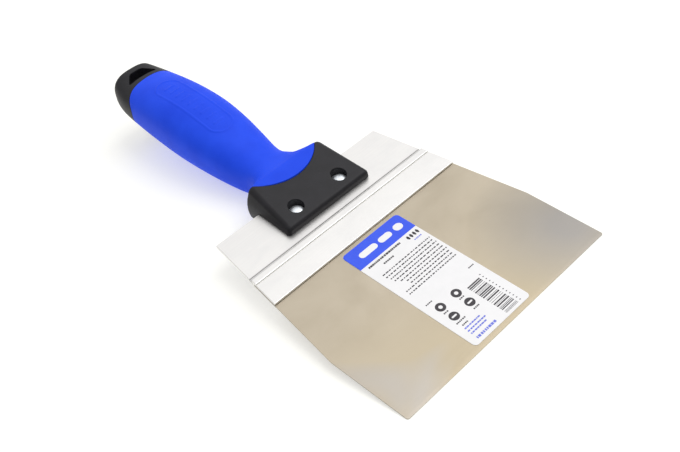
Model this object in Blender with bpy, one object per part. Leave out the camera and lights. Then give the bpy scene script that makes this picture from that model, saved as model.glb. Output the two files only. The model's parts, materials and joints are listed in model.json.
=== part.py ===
"""Flexible putty knife: spring-steel blade in an aluminium holder, two-part plastic handle.

Tool frame while building, in metres: X across the blade, Y from the front edge to the
butt, Z out of the blade's upper face. `lay_down` then rests the tool on the surface Z = 0.
"""
import math

import bmesh
import bpy
from mathutils import Matrix, Vector

MM = 0.001
GAP = 0.3                     # clearance between solids that touch in the real tool
CLEAR = 60.0                  # reach of a cutter, outside the tool on every side

# Blade
BLADE_HALF = 75.0             # half width of the front edge
BLADE_T = 0.5                 # sheet thickness
KINK_Y = 48.0                 # the sides run parallel up to here, then taper
TAPER = 0.143                 # half width lost per unit of length behind the kink
BLADE_REAR = 111.6            # end of the sheet inside the holder
EDGE_GRIND = 1.6              # length of the thinned front edge
EDGE_T = 0.3                  # thickness at the front edge
BLADE_CORNER = 1.2            # radius of the front corners

# Aluminium holder
LIP_Y = 93.8                  # front of the clamping lips
FLEX_AXIS = (0.0, LIP_Y, 0.0)  # the blade bends from this line, along X
HOLDER_REAR = 148.0
SLOT_HALF = BLADE_T / 2 + GAP
SLOT_END = 112.0
LIP_TOP = 1.7                 # height of the clamping plates above mid-plane
BEAD_TOP = 2.2                # ridge between the two grooves
PLATE_TOP = 0.9               # half thickness of the rear plate
GROOVE_FRONT = 110.0
GROOVE_REAR = 114.9

# Bolster: the front block of the hard plastic core
BOLSTER_FRONT = 122.5
BOLSTER_REAR = 158.8
BOLSTER_HALF = 31.2           # half width at its widest, at the front
BOLSTER_TAPER = 0.035         # half width lost per unit of length behind the front
BOLSTER_WIDEST = -1.0         # height at which it is widest
BOLSTER_BARREL = 0.026        # half width lost per square of the height from there
BOLSTER_TOP = 5.8             # height at the front
BOLSTER_SLOPE = 0.155         # rise of the top towards the rear
BOLSTER_BOTTOM = 7.4
BOLSTER_DROP = 0.05           # fall of the underside towards the rear
BOLSTER_CORNER = 2.2          # radius of the upright corners
UNDER_EDGE = [(1.6, 0.0), (0.5, 0.5), (0.0, 1.8)]   # inset and height of the rounding's rings
TOP_EDGE = [(0.0, -2.4), (0.35, -1.3), (1.0, -0.5), (2.4, 0.0)]
RECESS_FLOOR = 4.5            # floor of the round recess that takes the grip's tongue
RECESS_RADIUS = 31.0
RECESS_CENTRE = 176.5
RECESS_SEGMENTS = 120

# Rivets
RIVET_X = 16.3
RIVET_Y = 131.9
SHANK_R = 2.0
HEAD_R = 4.25
HEAD_Z = 3.3                  # seat of the rivet head
HEAD_H = 1.3
TAIL_H = 1.4
BORE_R = 4.6                  # counterbore radius
BORE_FLOOR = 3.0
RIVET_SEGMENTS = 28

# Handle body: Y, half width, height above and depth below mid-plane, squareness
HANDLE = [
    (144.0, 29.0, 10.2, 8.8, 7.0),
    (158.6, 27.8, 11.1, 9.1, 7.0),
    (159.6, 25.0, 10.6, 9.3, 6.0),
    (163.8, 18.5, 9.2, 11.0, 3.6),
    (168.8, 16.1, 7.9, 13.8, 3.0),
    (175.0, 15.0, 7.0, 17.2, 2.6),
    (183.0, 16.2, 7.2, 19.4, 2.35),
    (196.0, 18.5, 10.0, 19.8, 2.35),
    (212.0, 20.8, 13.5, 19.4, 2.35),
    (230.0, 22.2, 16.2, 18.8, 2.35),
    (248.0, 22.0, 17.0, 18.2, 2.35),
    (266.0, 21.2, 15.6, 16.6, 2.35),
    (283.0, 20.0, 12.9, 13.9, 2.35),
    (291.0, 18.4, 12.3, 13.1, 2.45),
    (297.0, 16.3, 12.3, 12.4, 2.65),
    (300.0, 14.8, 12.4, 12.0, 2.8),
]
GRIP_END = 282.2              # rear edge of the soft sleeve on the centre line
BUTT_END = 300.0
GRIP_SAG = 4.0                # how far that edge curves forward at SAG_HALF from the middle
SAG_HALF = 20.0
SAG_FRONT = 215.0             # the sections start to curve here
WALL = 2.8                    # sleeve thickness
NECK_STATIONS = [144.0, 152.0, 158.0, 158.8, 159.6, 160.6, 162.5, 165.0, 167.5, 170.0, 173.0, 176.0, 180.0]
GRIP_FRONT = 184.0            # sections are evenly spaced from here
GRIP_STEP = 6.5
SLEEVE_SPARE = 6.0            # length beyond the rear edge, cut off again
TANG_STEP = 6.0               # spacing of the tang sections
TANG_FRONT = 151.0            # the core's tang starts inside the bolster
TANG_TOP = 4.2                # its height there, under the sleeve's tongue
TANG_RISE = 0.3               # slope of the tang's top where it leaves the bolster
BUTT_ROUND = 1.4              # length of the softened rear edge
SEGMENTS = 40                 # points round one handle section
EDGE_HALF = 27.0              # half width of the cutter that ends the sleeve, wider than the handle
EDGE_STEP = 1.5

# Hanging hole through the butt, a trapezoid
HOLE_FRONT = 286.6
HOLE_REAR = 294.8
HOLE_HALF_FRONT = 10.2
HOLE_HALF_REAR = 4.2
HOLE_CORNER = 1.0             # chamfer of its corners

# Label on the upper face of the blade
LABEL_X = -3.0
LABEL_HALF = 21.0
LABEL_FRONT = 2.9
LABEL_REAR = 91.2
LABEL_T = 0.15
LABEL_LIFT = 0.1
LABEL_CORNER = 2.4


def side_x(y):
    """Half width of blade and holder at a distance from the front edge."""
    return BLADE_HALF - TAPER * max(0.0, y - KINK_Y)


def clear_scene():
    for obj in list(bpy.data.objects):
        bpy.data.objects.remove(obj, do_unlink=True)


def add_object(name, verts, faces, origin=(0.0, 0.0, 0.0)):
    """Mesh object from millimetre points, with its origin at the given point."""
    mesh = bpy.data.meshes.new(name)
    mesh.from_pydata([[(c - o) * MM for c, o in zip(v, origin)] for v in verts], [], faces)
    mesh.validate()
    work = bmesh.new()
    work.from_mesh(mesh)
    bmesh.ops.recalc_face_normals(work, faces=work.faces)
    work.to_mesh(mesh)
    work.free()
    obj = bpy.data.objects.new(name, mesh)
    obj.location = [c * MM for c in origin]
    bpy.context.scene.collection.objects.link(obj)
    return obj


def loft(name, rings, origin=(0.0, 0.0, 0.0)):
    """Closed solid through rings of equal point count."""
    count = len(rings[0])
    verts = [p for ring in rings for p in ring]
    faces = [list(range(count))[::-1]]
    for i in range(len(rings) - 1):
        for j in range(count):
            k = (j + 1) % count
            faces.append([i * count + j, i * count + k, (i + 1) * count + k, (i + 1) * count + j])
    faces.append([(len(rings) - 1) * count + j for j in range(count)])
    return add_object(name, verts, faces, origin)


def cut(target, cutter, operation="DIFFERENCE"):
    """Apply one exact boolean and drop the cutter."""
    mod = target.modifiers.new("cut", "BOOLEAN")
    mod.operation = operation
    mod.solver = "EXACT"
    mod.object = cutter
    graph = bpy.context.evaluated_depsgraph_get()
    result = bpy.data.meshes.new_from_object(target.evaluated_get(graph))
    target.modifiers.clear()
    target.data = result
    bpy.data.objects.remove(cutter, do_unlink=True)


def cylinder(x, y, z0, z1, radius, count=32):
    angles = [2 * math.pi * i / count for i in range(count)]
    rings = []
    for z in (z0, z1):
        rings.append([(x + radius * math.cos(a), y + radius * math.sin(a), z) for a in angles])
    return loft("cutter", rings)


def prism(outline, z0, z1):
    return loft("cutter", [[(x, y, z) for x, y in outline] for z in (z0, z1)])


def rectangle(half_w, y0, y1):
    return [(-half_w, y0), (half_w, y0), (half_w, y1), (-half_w, y1)]


def rounded_rect(half_w, y0, y1, radius, steps=4):
    """Counter-clockwise outline, centred on X = 0."""
    corners = [(half_w, y0, -90), (half_w, y1, 0), (-half_w, y1, 90), (-half_w, y0, 180)]
    outline = []
    for x, y, start in corners:
        cx = x - math.copysign(radius, x)
        cy = y + radius if y == y0 else y - radius
        for i in range(steps + 1):
            a = math.radians(start + 90 * i / steps)
            outline.append((cx + radius * math.cos(a), cy + radius * math.sin(a)))
    return outline


def material(name, color, metallic, roughness):
    mat = bpy.data.materials.new(name)
    mat.use_nodes = True
    shader = mat.node_tree.nodes["Principled BSDF"]
    shader.inputs["Base Color"].default_value = (*color, 1.0)
    shader.inputs["Metallic"].default_value = metallic
    shader.inputs["Roughness"].default_value = roughness
    return mat


def finish(obj, mat, angle=30):
    obj.data.materials.clear()
    obj.data.materials.append(mat)
    for poly in obj.data.polygons:
        poly.material_index = 0
    obj.data.shade_smooth()
    obj.data.set_sharp_from_angle(angle=math.radians(angle))


def build_blade():
    """Sheet with parallel sides, tapered rear and a thinned front edge."""
    corner = []
    for i in range(4):
        a = math.radians(-90 + 30 * i)
        x = BLADE_HALF - BLADE_CORNER + BLADE_CORNER * math.cos(a)
        corner.append((x, BLADE_CORNER + BLADE_CORNER * math.sin(a)))
    stations = [(y, x) for x, y in corner] + [(EDGE_GRIND, BLADE_HALF)]
    stations += [(KINK_Y, BLADE_HALF), (BLADE_REAR, side_x(BLADE_REAR))]
    rings = []
    for y, x in stations:
        share = min(1.0, y / EDGE_GRIND)
        t = (EDGE_T + (BLADE_T - EDGE_T) * share) / 2
        rings.append([(-x, y, -t), (x, y, -t), (x, y, t), (-x, y, t)])
    return loft("blade", rings, FLEX_AXIS)


def holder_profile():
    """Upper half of the extrusion's section as (Y, Z), front to rear."""
    return [
        (LIP_Y, SLOT_HALF),
        (LIP_Y, LIP_TOP - 0.25),
        (LIP_Y + 0.25, LIP_TOP),
        (GROOVE_FRONT - 0.4, LIP_TOP),
        (GROOVE_FRONT - 0.15, LIP_TOP - 0.4),
        (GROOVE_FRONT + 0.2, LIP_TOP - 0.4),
        (GROOVE_FRONT + 0.5, BEAD_TOP - 0.25),
        (GROOVE_FRONT + 1.1, BEAD_TOP),
        (GROOVE_REAR - 1.0, BEAD_TOP),
        (GROOVE_REAR - 0.4, BEAD_TOP - 0.25),
        (GROOVE_REAR - 0.2, PLATE_TOP - 0.4),
        (GROOVE_REAR + 1.2, PLATE_TOP - 0.4),
        (GROOVE_REAR + 1.5, PLATE_TOP),
        (HOLDER_REAR - 0.2, PLATE_TOP),
        (HOLDER_REAR, PLATE_TOP - 0.2),
    ]


def build_holder():
    """Extruded holder with a blade slot in front and a riveted plate behind."""
    upper = holder_profile()
    lower = [(y, -z) for y, z in reversed(upper)]
    profile = upper + lower + [(SLOT_END, -SLOT_HALF), (SLOT_END, SLOT_HALF)]
    rings = [[(side * side_x(y), y, z) for y, z in profile] for side in (-1, 1)]
    holder = loft("blade_holder", rings)
    for side in (-1, 1):
        cut(holder, cylinder(side * RIVET_X, RIVET_Y, -CLEAR, CLEAR, SHANK_R + GAP, 24))
    return holder


def ease(t):
    t = min(1.0, max(0.0, t))
    return t * t * (3 - 2 * t)


def section_at(y):
    """Smoothly interpolated handle section: half width, top, bottom, squareness."""
    y = min(max(y, HANDLE[0][0]), HANDLE[-1][0])
    i = 0
    while i < len(HANDLE) - 2 and y > HANDLE[i + 1][0]:
        i += 1
    rows = [HANDLE[max(i - 1, 0)], HANDLE[i], HANDLE[i + 1], HANDLE[min(i + 2, len(HANDLE) - 1)]]
    span = rows[2][0] - rows[1][0]
    t = (y - rows[1][0]) / span
    values = []
    for k in range(1, 5):
        before = (rows[2][k] - rows[0][k]) / max(rows[2][0] - rows[0][0], 1e-6) * span
        after = (rows[3][k] - rows[1][k]) / max(rows[3][0] - rows[1][0], 1e-6) * span
        a, b = rows[1][k], rows[2][k]
        curve = (2 * t ** 3 - 3 * t ** 2 + 1) * a + (t ** 3 - 2 * t ** 2 + t) * before
        curve += (3 * t ** 2 - 2 * t ** 3) * b + (t ** 3 - t ** 2) * after
        values.append(curve)
    return values


def section_point(y, angle, inset):
    """One point of the handle surface, moved inwards by inset."""
    half, top, bottom, square = section_at(y)
    if inset > 0:
        half -= inset
        top = min(top - inset, TANG_TOP + WALL - inset + TANG_RISE * max(0.0, y - BOLSTER_REAR))
        bottom -= inset
    middle = (top - bottom) / 2
    height = (top + bottom) / 2
    c, s = math.cos(angle), math.sin(angle)
    x = half * math.copysign(abs(c) ** (2 / square), c)
    z = middle + height * math.copysign(abs(s) ** (2 / square), s)
    return x, z


def handle_ring(y, sag=0.0, inset=0.0):
    """Section ring whose sides curve forward by sag."""
    ring = []
    for i in range(SEGMENTS):
        angle = 2 * math.pi * (i + 0.5) / SEGMENTS
        yy = y
        for _ in range(3):
            x, z = section_point(yy, angle, inset)
            yy = y - sag * (x / SAG_HALF) ** 2
        ring.append((x, yy, z))
    return ring


def sag_at(y):
    """The curve of the rings grows towards the rear edge of the sleeve."""
    return GRIP_SAG * ease((y - SAG_FRONT) / (GRIP_END - SAG_FRONT))


def spread(y0, y1, step):
    """Evenly spaced values from y0 to y1, about step apart."""
    count = max(1, round((y1 - y0) / step))
    return [y0 + (y1 - y0) * i / count for i in range(count + 1)]


def tang_stations():
    return spread(TANG_FRONT, GRIP_END + GAP, TANG_STEP)


def bolster_ring(z_share, inset, z_shift):
    """Outline of the bolster at a share of its height (-1 underside, 0 middle, 1 top)."""
    outline = rounded_rect(BOLSTER_HALF, BOLSTER_FRONT, BOLSTER_REAR, BOLSTER_CORNER)
    middle = (BOLSTER_FRONT + BOLSTER_REAR) / 2
    shorten = 1 - 2 * inset / (BOLSTER_REAR - BOLSTER_FRONT)
    ring = []
    for x, y in outline:
        run = y - BOLSTER_FRONT
        if z_share >= 0:
            z = z_share * (BOLSTER_TOP + BOLSTER_SLOPE * run) + z_shift
        else:
            z = z_share * (BOLSTER_BOTTOM + BOLSTER_DROP * run) + z_shift
        barrel = BOLSTER_BARREL * (z - BOLSTER_WIDEST) ** 2
        narrow = 1 - (barrel + inset + BOLSTER_TAPER * run) / BOLSTER_HALF
        ring.append((x * narrow, middle + (y - middle) * shorten, z))
    return ring


def build_bolster():
    """Block with bulging sides and softened edges, before it is slotted."""
    rings = [bolster_ring(-1, inset, shift) for inset, shift in UNDER_EDGE]
    rings += [bolster_ring(share, 0.0, 0.0) for share in (0.0, 0.4)]
    rings += [bolster_ring(1, inset, shift) for inset, shift in TOP_EDGE]
    block = loft("handle_core", rings)
    cut(block, cylinder(0, RECESS_CENTRE, RECESS_FLOOR, CLEAR, RECESS_RADIUS, RECESS_SEGMENTS))
    return block


def hole_outline():
    """Trapezoid with chamfered corners, wide side forward."""
    right = [
        (HOLE_HALF_FRONT - HOLE_CORNER, HOLE_FRONT),
        (HOLE_HALF_FRONT, HOLE_FRONT + HOLE_CORNER),
        (HOLE_HALF_REAR + HOLE_CORNER, HOLE_REAR - HOLE_CORNER),
        (HOLE_HALF_REAR - HOLE_CORNER, HOLE_REAR),
    ]
    return right + [(-x, y) for x, y in reversed(right)]


def build_core():
    """Bolster, tang inside the sleeve and butt, as one moulding."""
    rings = [handle_ring(y, sag_at(y), WALL) for y in tang_stations()]
    butt = [(y, 1.0) for y in spread(GRIP_END + GAP, BUTT_END - BUTT_ROUND, 2.5)]
    butt += [(BUTT_END - 0.4 * BUTT_ROUND, 0.985), (BUTT_END, 0.935)]
    for y, scale in butt:
        sag = GRIP_SAG * (BUTT_END - y) / (BUTT_END - GRIP_END - GAP)
        rings.append([(x * scale, yy, z * scale) for x, yy, z in handle_ring(y, sag)])
    tang = loft("tang", rings)
    core = build_bolster()
    cut(core, tang, "UNION")
    slot = rectangle(CLEAR, BOLSTER_FRONT - CLEAR, HOLDER_REAR + GAP)
    cut(core, prism(slot, -PLATE_TOP - GAP, PLATE_TOP + GAP))
    for side in (-1, 1):
        x = side * RIVET_X
        cut(core, cylinder(x, RIVET_Y, -CLEAR, CLEAR, SHANK_R + GAP, 24))
        cut(core, cylinder(x, RIVET_Y, BORE_FLOOR, CLEAR, BORE_R))
        cut(core, cylinder(x, RIVET_Y, -CLEAR, -BORE_FLOOR, BORE_R))
    cut(core, prism(hole_outline(), -CLEAR, CLEAR))
    return core


def build_sleeve():
    """Soft grip moulded over the tang, with a round tongue on top of the bolster."""
    stations = NECK_STATIONS + spread(GRIP_FRONT, GRIP_END + SLEEVE_SPARE, GRIP_STEP)
    sleeve = loft("grip_sleeve", [handle_ring(y, sag_at(y)) for y in stations])
    inner = [TANG_FRONT - GAP] + tang_stations()[1:] + [GRIP_END + 2 * SLEEVE_SPARE]
    rings = [handle_ring(y, sag_at(y), WALL - GAP) for y in inner]
    front = prism(rectangle(CLEAR, HANDLE[0][0] - 1, BOLSTER_REAR + GAP), -CLEAR, CLEAR)
    floor = RECESS_FLOOR + GAP
    tongue = cylinder(0, RECESS_CENTRE, floor, 2 * CLEAR, RECESS_RADIUS - GAP, RECESS_SEGMENTS)
    cut(front, tongue)
    cut(sleeve, front)
    cut(sleeve, loft("cutter", rings))
    across = spread(-EDGE_HALF, EDGE_HALF, EDGE_STEP)
    edge = [(x, GRIP_END - GRIP_SAG * (x / SAG_HALF) ** 2) for x in across]
    behind = [(EDGE_HALF, BUTT_END), (-EDGE_HALF, BUTT_END)]
    cut(sleeve, prism(edge + behind, -CLEAR, CLEAR))
    return sleeve


def build_rivet(name, x):
    """Domed head above, shank through the plate, flat tail below."""
    levels = [
        (-HEAD_Z - TAIL_H, HEAD_R - 0.9),
        (-HEAD_Z - TAIL_H + 0.3, HEAD_R - 0.5),
        (-HEAD_Z, HEAD_R - 0.5),
        (-HEAD_Z, SHANK_R),
        (HEAD_Z, SHANK_R),
        (HEAD_Z, HEAD_R),
        (HEAD_Z + 0.4 * HEAD_H, HEAD_R - 0.2),
        (HEAD_Z + 0.75 * HEAD_H, HEAD_R - 1.0),
        (HEAD_Z + HEAD_H, HEAD_R - 2.4),
    ]
    rings = []
    for z, radius in levels:
        ring = []
        for i in range(RIVET_SEGMENTS):
            a = 2 * math.pi * i / RIVET_SEGMENTS
            ring.append((x + radius * math.cos(a), RIVET_Y + radius * math.sin(a), z))
        rings.append(ring)
    return loft(name, rings)


def build_label():
    outline = rounded_rect(LABEL_HALF, LABEL_FRONT, LABEL_REAR, LABEL_CORNER, 5)
    z0 = BLADE_T / 2 + LABEL_LIFT
    rings = [[(x + LABEL_X, y, z) for x, y in outline] for z in (z0, z0 + LABEL_T)]
    return loft("label", rings, FLEX_AXIS)


def lay_down(objects):
    """Parent the tool to an empty that rests the front edge and the belly on Z = 0."""
    edge = Vector((0, 0, -EDGE_T / 2 * MM))
    points = [obj.location + v.co for obj in objects for v in obj.data.vertices]
    behind = [p - edge for p in points if p.y > BOLSTER_FRONT * MM]
    tilt = max(math.atan2(-p.z, p.y) for p in behind)
    turned = [Matrix.Rotation(tilt, 3, "X") @ p for p in points]
    rear = max(p.y for p in turned)
    front = min(p.y for p in turned)
    rest = bpy.data.objects.new("rest_pose", None)
    rest.rotation_euler = (tilt, 0, 0)
    rest.location = (0, -(front + rear) / 2, -min(p.z for p in turned))
    bpy.context.scene.collection.objects.link(rest)
    for obj in objects:
        obj.parent = rest


def main():
    clear_scene()
    steel = material("spring_steel", (0.56, 0.52, 0.46), 1.0, 0.32)
    aluminium = material("aluminium", (0.86, 0.85, 0.84), 1.0, 0.38)
    hard = material("hard_plastic", (0.03, 0.03, 0.032), 0.0, 0.45)
    soft = material("soft_grip", (0.03, 0.08, 0.72), 0.0, 0.55)
    rivet = material("rivet_metal", (0.75, 0.76, 0.78), 1.0, 0.3)
    film = material("label_film", (0.9, 0.9, 0.92), 0.0, 0.4)
    made = [
        (build_blade(), steel),
        (build_holder(), aluminium),
        (build_core(), hard),
        (build_sleeve(), soft),
        (build_rivet("rivet_left", -RIVET_X), rivet),
        (build_rivet("rivet_right", RIVET_X), rivet),
        (build_label(), film),
    ]
    for obj, mat in made:
        finish(obj, mat)
    lay_down([obj for obj, _ in made])


main()
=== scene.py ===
import json
import math
import random

import bmesh
import bpy
import numpy as np
from mathutils import Matrix, Vector


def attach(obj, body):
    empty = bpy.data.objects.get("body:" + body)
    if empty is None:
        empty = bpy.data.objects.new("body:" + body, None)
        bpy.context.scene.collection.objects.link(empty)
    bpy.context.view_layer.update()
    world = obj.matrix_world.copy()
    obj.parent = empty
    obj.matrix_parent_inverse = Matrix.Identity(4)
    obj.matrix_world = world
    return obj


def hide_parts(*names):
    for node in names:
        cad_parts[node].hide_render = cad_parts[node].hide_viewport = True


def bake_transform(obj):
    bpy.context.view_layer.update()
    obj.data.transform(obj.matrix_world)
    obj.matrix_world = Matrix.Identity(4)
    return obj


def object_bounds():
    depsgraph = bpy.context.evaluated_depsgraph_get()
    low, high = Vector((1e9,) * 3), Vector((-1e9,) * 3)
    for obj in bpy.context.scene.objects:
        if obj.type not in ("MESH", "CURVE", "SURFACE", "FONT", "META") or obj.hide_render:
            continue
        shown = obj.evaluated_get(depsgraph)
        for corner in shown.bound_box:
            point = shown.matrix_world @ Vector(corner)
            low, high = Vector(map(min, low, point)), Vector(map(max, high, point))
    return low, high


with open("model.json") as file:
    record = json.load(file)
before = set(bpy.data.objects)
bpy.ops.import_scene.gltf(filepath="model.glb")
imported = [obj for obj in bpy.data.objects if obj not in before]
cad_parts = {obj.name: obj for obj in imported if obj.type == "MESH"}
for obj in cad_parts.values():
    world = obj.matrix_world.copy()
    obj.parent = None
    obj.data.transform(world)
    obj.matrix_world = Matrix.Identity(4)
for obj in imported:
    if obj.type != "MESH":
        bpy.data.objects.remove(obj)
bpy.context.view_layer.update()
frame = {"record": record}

# Everything below is in the tool frame, in millimetres: X across the blade, Y from the front
# edge to the butt, Z out of the upper face. TOOL turns it into the row frame.
MM = 0.001
GAP = 0.3                     # clearance between solids
SEAM = 0.1                    # visible gap between sleeve and core

# Blade, holder, bolster, rivets, handle and label have the CAD part's own dimensions, apart
# from small rounded edges. Where a value differs, the CAD part's is noted beside it.
BLADE_HALF = 75.0
BLADE_T = 0.5
KINK_Y = 48.0
TAPER = 0.143
BLADE_REAR = 111.6
EDGE_GRIND = 1.6
EDGE_T = 0.3
BLADE_CORNER = 1.2
BLADE_RIM = 0.08              # softened corners of the sheet
BLADE_COLUMNS = 50
ROW_STEP = 2.0                # rows of the sheet that bends, and of all that lies on it

LIP_Y = 93.8
HOLDER_REAR = 148.0
SLOT_HALF = BLADE_T / 2 + GAP
SLOT_END = 112.0
LIP_TOP = 1.7
BEAD_TOP = 2.2
PLATE_TOP = 0.9
GROOVE_FRONT = 110.0
GROOVE_REAR = 114.9
HOLDER_CHAMFER = 0.12

BOLSTER_FRONT = 122.5
BOLSTER_REAR = 158.8
BOLSTER_HALF = 31.2
BOLSTER_TAPER = 0.035
BOLSTER_WIDEST = -1.0         # height at which it is widest
BOLSTER_BARREL = 0.026        # how strongly its sides bulge
BOLSTER_TOP = 5.8
BOLSTER_SLOPE = 0.155
BOLSTER_BOTTOM = 7.4
BOLSTER_DROP = 0.05
BOLSTER_CORNER = 2.2
TOP_ROUND = 2.3               # radius of the bolster's upper edges
UNDER_ROUND = 1.4
RECESS_FLOOR = 4.5
RECESS_RADIUS = 31.0
RECESS_CENTRE = 178.0         # 176.5 in the CAD part
RIM_ROUND = 0.35              # radius of the recess, bore and hole rims

RIVET_X = 16.3
RIVET_Y = 131.9
SHANK_R = 2.0
HEAD_R = 4.25
HEAD_Z = 3.3
HEAD_H = 1.3
TAIL_H = 1.4
BORE_R = 4.6
BORE_FLOOR = 3.0

# Handle body: Y, half width, height above and depth below mid-plane, squareness
HANDLE = [
    (144.0, 29.0, 10.2, 8.8, 7.0),
    (158.6, 27.8, 11.1, 9.1, 7.0),
    (159.6, 25.0, 10.6, 9.3, 6.0),
    (163.8, 18.5, 9.2, 11.0, 3.6),
    (168.8, 16.1, 7.9, 13.8, 3.0),
    (175.0, 15.0, 7.0, 17.2, 2.6),
    (183.0, 16.2, 7.2, 19.4, 2.35),
    (196.0, 18.5, 10.0, 19.8, 2.35),
    (212.0, 20.8, 13.5, 19.4, 2.35),
    (230.0, 22.2, 16.2, 18.8, 2.35),
    (248.0, 22.0, 17.0, 18.2, 2.35),
    (266.0, 21.2, 15.6, 16.6, 2.35),
    (283.0, 20.0, 12.9, 13.9, 2.35),
    (291.0, 18.4, 12.3, 13.1, 2.45),
    (297.0, 16.3, 12.3, 12.4, 2.65),
    (300.0, 14.8, 12.4, 12.0, 2.8),
]
BUTT_END = 300.0
GRIP_END = 282.8              # rear edge of the sleeve on top, 282.2 in the CAD part
GRIP_SAG = 7.0                # how far it curves forward down the sides, 4.0 in the CAD part
SAG_TOP = 13.5                # it curves forward below this height, by a rule of its own
SAG_DROP = 12.0
GRIP_SKEW = 0.05              # it is moulded slightly askew, straight in the CAD part
WALL = 2.8
TANG_FRONT = 151.0
TANG_TOP = 4.2
TANG_RISE = 0.3
GRIP_ROUND = 0.3              # radius of the sleeve's edges
BUTT_ROUND = 1.3              # radius of the butt's rear edge, 1.4 in the CAD part
LINES = 256                   # lengthwise lines round the handle
SECTION_POINTS = 1441         # points a section is measured at before it is divided evenly
TABLE_STEP = 0.5              # spacing of the sections the lines are read from

HOLE_FRONT = 286.6
HOLE_REAR = 294.8
HOLE_HALF_FRONT = 10.2
HOLE_HALF_REAR = 4.2
HOLE_CORNER = 1.0
OUTSIDE = 3.0                 # how far a cutter stands out of the body

# Raised marks on the grip: a plain long outline round a row of short bars
MARK_Y = 236.0
MARK_LENGTH = 31.0            # half length and half width of the outline
MARK_WIDTH = 8.2
MARK_LINE = 0.55              # half thickness of its line
MARK_HEIGHT = 0.3
MARK_SOFT = 0.45              # run of the marks' sloping sides
BAR_PITCH = 5.6
BAR_COUNT = 9
BAR_HALF = 3.9                # half length and half thickness of a bar
BAR_THICK = 0.75
MARK_MARGIN = 2.0             # the sleeve's rows are fine this far past the marks
FINE_ROWS = 0.45
COARSE_ROWS = 1.1
FIRST_ROW = 2.6
END_ROWS = (0.8, 1.2, 1.8)    # rows just behind the sleeve's rounded ends

LABEL_X = -3.0
LABEL_HALF = 21.0
LABEL_FRONT = 2.9
LABEL_REAR = 91.2
LABEL_CORNER = 2.4
LABEL_Z = BLADE_T / 2 + 0.02  # the CAD part's label lies 0.1 above the blade
LABEL_T = 0.14                # 0.15 in the CAD part
INK_T = 0.03
BAND_FRONT = 77.4
ICON_R = 2.8

# Rows of dashes that stand for print: left and right end in X, then Y, height,
# longest dash and gap
HEADING = [
    (-20.2, 3.4, 75.3, 1.2, 1.6, 0.3),
    (-12.8, -4.7, 71.6, 1.0, 1.2, 0.3),
]
LOWER_ROWS = [
    (-19.8, 15.5, 48.0, 0.7, 2.0, 0.6),
    (12.2, 16.0, 37.0, 0.7, 0.9, 0.4),
    (-20.3, -15.0, 37.0, 0.7, 0.9, 0.4),
    (-6.6, -2.8, 27.2, 0.8, 1.0, 0.3),
    (-6.8, -2.7, 18.2, 0.8, 1.0, 0.3),
    (-18.6, -14.8, 27.0, 0.8, 1.0, 0.3),
    (-19.5, -12.4, 18.4, 0.8, 1.0, 0.3),
    (-18.3, -13.8, 15.8, 0.8, 1.0, 0.3),
]
BLUE_ROWS = [
    (-19.2, -7.9, 13.6, 0.8, 1.8, 0.35),
    (-19.4, -6.2, 11.5, 0.8, 1.8, 0.35),
    (-19.4, -8.1, 9.5, 0.8, 1.8, 0.35),
    (-19.5, -5.5, 5.9, 1.4, 1.7, 0.4),
    (9.9, 15.4, 70.9, 0.8, 1.0, 0.35),
]
PARAGRAPH_TOP = 66.4          # Y of its first row; its short last row is in LOWER_ROWS
PARAGRAPH_PITCH = 2.3
PARAGRAPH_RIGHT = 16.4
PARAGRAPH_LEFT = (-19.3, -19.3, -18.4, -18.0, -16.0, -14.0, -13.6, -19.6)

# Camera, light and floor in the row frame, metres and degrees
CAMERA_AT = (-0.25408, -0.36419, 0.35290)
CAMERA_TURN = (49.3086, 9.0120, -45.1010)
CAMERA_LENS = 52.82
CAMERA_SENSOR = 36.0
SKY_BRIGHT = (0.36, 0.22, 0.90)
SKY_LOW = 0.05
SKY_HIGH = 0.98
SKY_LOW_AT = -0.5             # cosines to the bright direction between which it brightens
SKY_HIGH_AT = 0.9
KEY_AT = (0.7, -0.25, 1.5)
KEY_SIZE = 1.2
KEY_POWER = 9.0
FLOOR_HALF = 3.0
FLOOR_GLOW = 0.46
FLOOR_TONE = (0.66, 0.655, 0.61)


def mount(name):
    return next(m for m in frame["record"]["mounts"] if m["name"] == name)


def tool_matrix():
    """Row frame from tool frame: the front edge's mount is the origin."""
    edge = mount("working_edge")
    y_axis = -Vector(edge["axis"])
    z_axis = Vector(mount("clamp_top")["axis"])
    turn = Matrix((y_axis.cross(z_axis), y_axis, z_axis)).transposed().to_4x4()
    turn.translation = Vector(edge["pos_m"])
    return turn @ Matrix.Scale(MM, 4)


TOOL = tool_matrix()


# ---------------------------------------------------------------- meshes

def side_x(y):
    """Half width of blade and holder at a distance from the front edge."""
    return BLADE_HALF - TAPER * max(0.0, y - KINK_Y)


def spread(start, stop, step):
    count = max(1, round((stop - start) / step))
    return [start + (stop - start) * i / count for i in range(count + 1)]


def round_inset(depth, radius):
    """How far a rounded edge lies inside the sharp one, at a depth below it."""
    if depth >= radius:
        return 0.0
    return radius - math.sqrt(radius ** 2 - (radius - depth) ** 2)


def round_steps(radius, count=6):
    """Depths for the rings of a rounded edge, close together at the surface."""
    return [radius * (1 - math.cos(0.5 * math.pi * i / count)) for i in range(count + 1)]


def mesh_object(name, verts, faces):
    """Object in tool millimetres with its normals outward."""
    mesh = bpy.data.meshes.new(name)
    mesh.from_pydata([tuple(map(float, v)) for v in verts], [], faces)
    mesh.validate()
    work = bmesh.new()
    work.from_mesh(mesh)
    bmesh.ops.recalc_face_normals(work, faces=work.faces)
    work.to_mesh(mesh)
    work.free()
    obj = bpy.data.objects.new(name, mesh)
    bpy.context.scene.collection.objects.link(obj)
    return obj


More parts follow.
